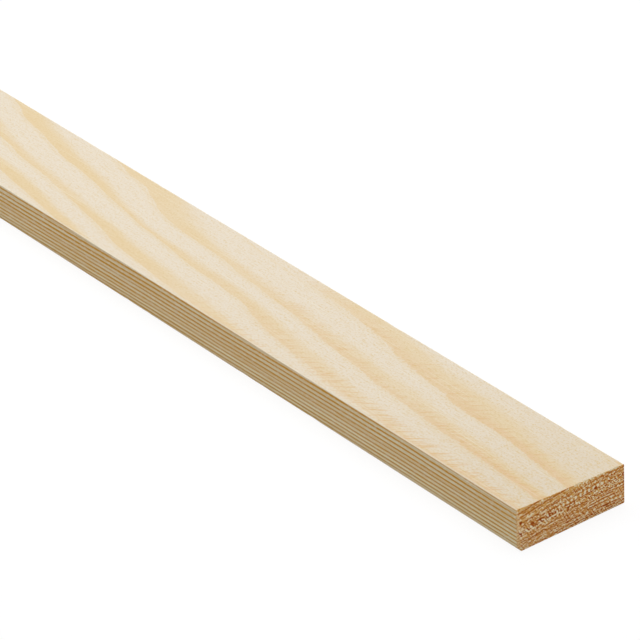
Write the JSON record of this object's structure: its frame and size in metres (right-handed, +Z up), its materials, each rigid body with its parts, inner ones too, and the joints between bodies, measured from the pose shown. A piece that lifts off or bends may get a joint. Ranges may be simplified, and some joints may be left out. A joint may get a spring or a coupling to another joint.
{
  "type": "timber plank",
  "caption": "Planed square-edge softwood plank with eased long edges and square sawn ends, a length of stock to cut, fix or stack.",
  "frame": {"origin": "middle of the plank's lower wide face, on the surface that it lies on", "axes": "+X along the grain, towards the sawn end that the picture shows; +Y across the width; +Z up, through the thickness"},
  "size_m": [0.9, 0.046, 0.015],
  "materials": {
    "softwood": "planed, unfinished"
  },
  "bodies": {
    "root": {"plank": "softwood"}
  },
  "joints": []
}
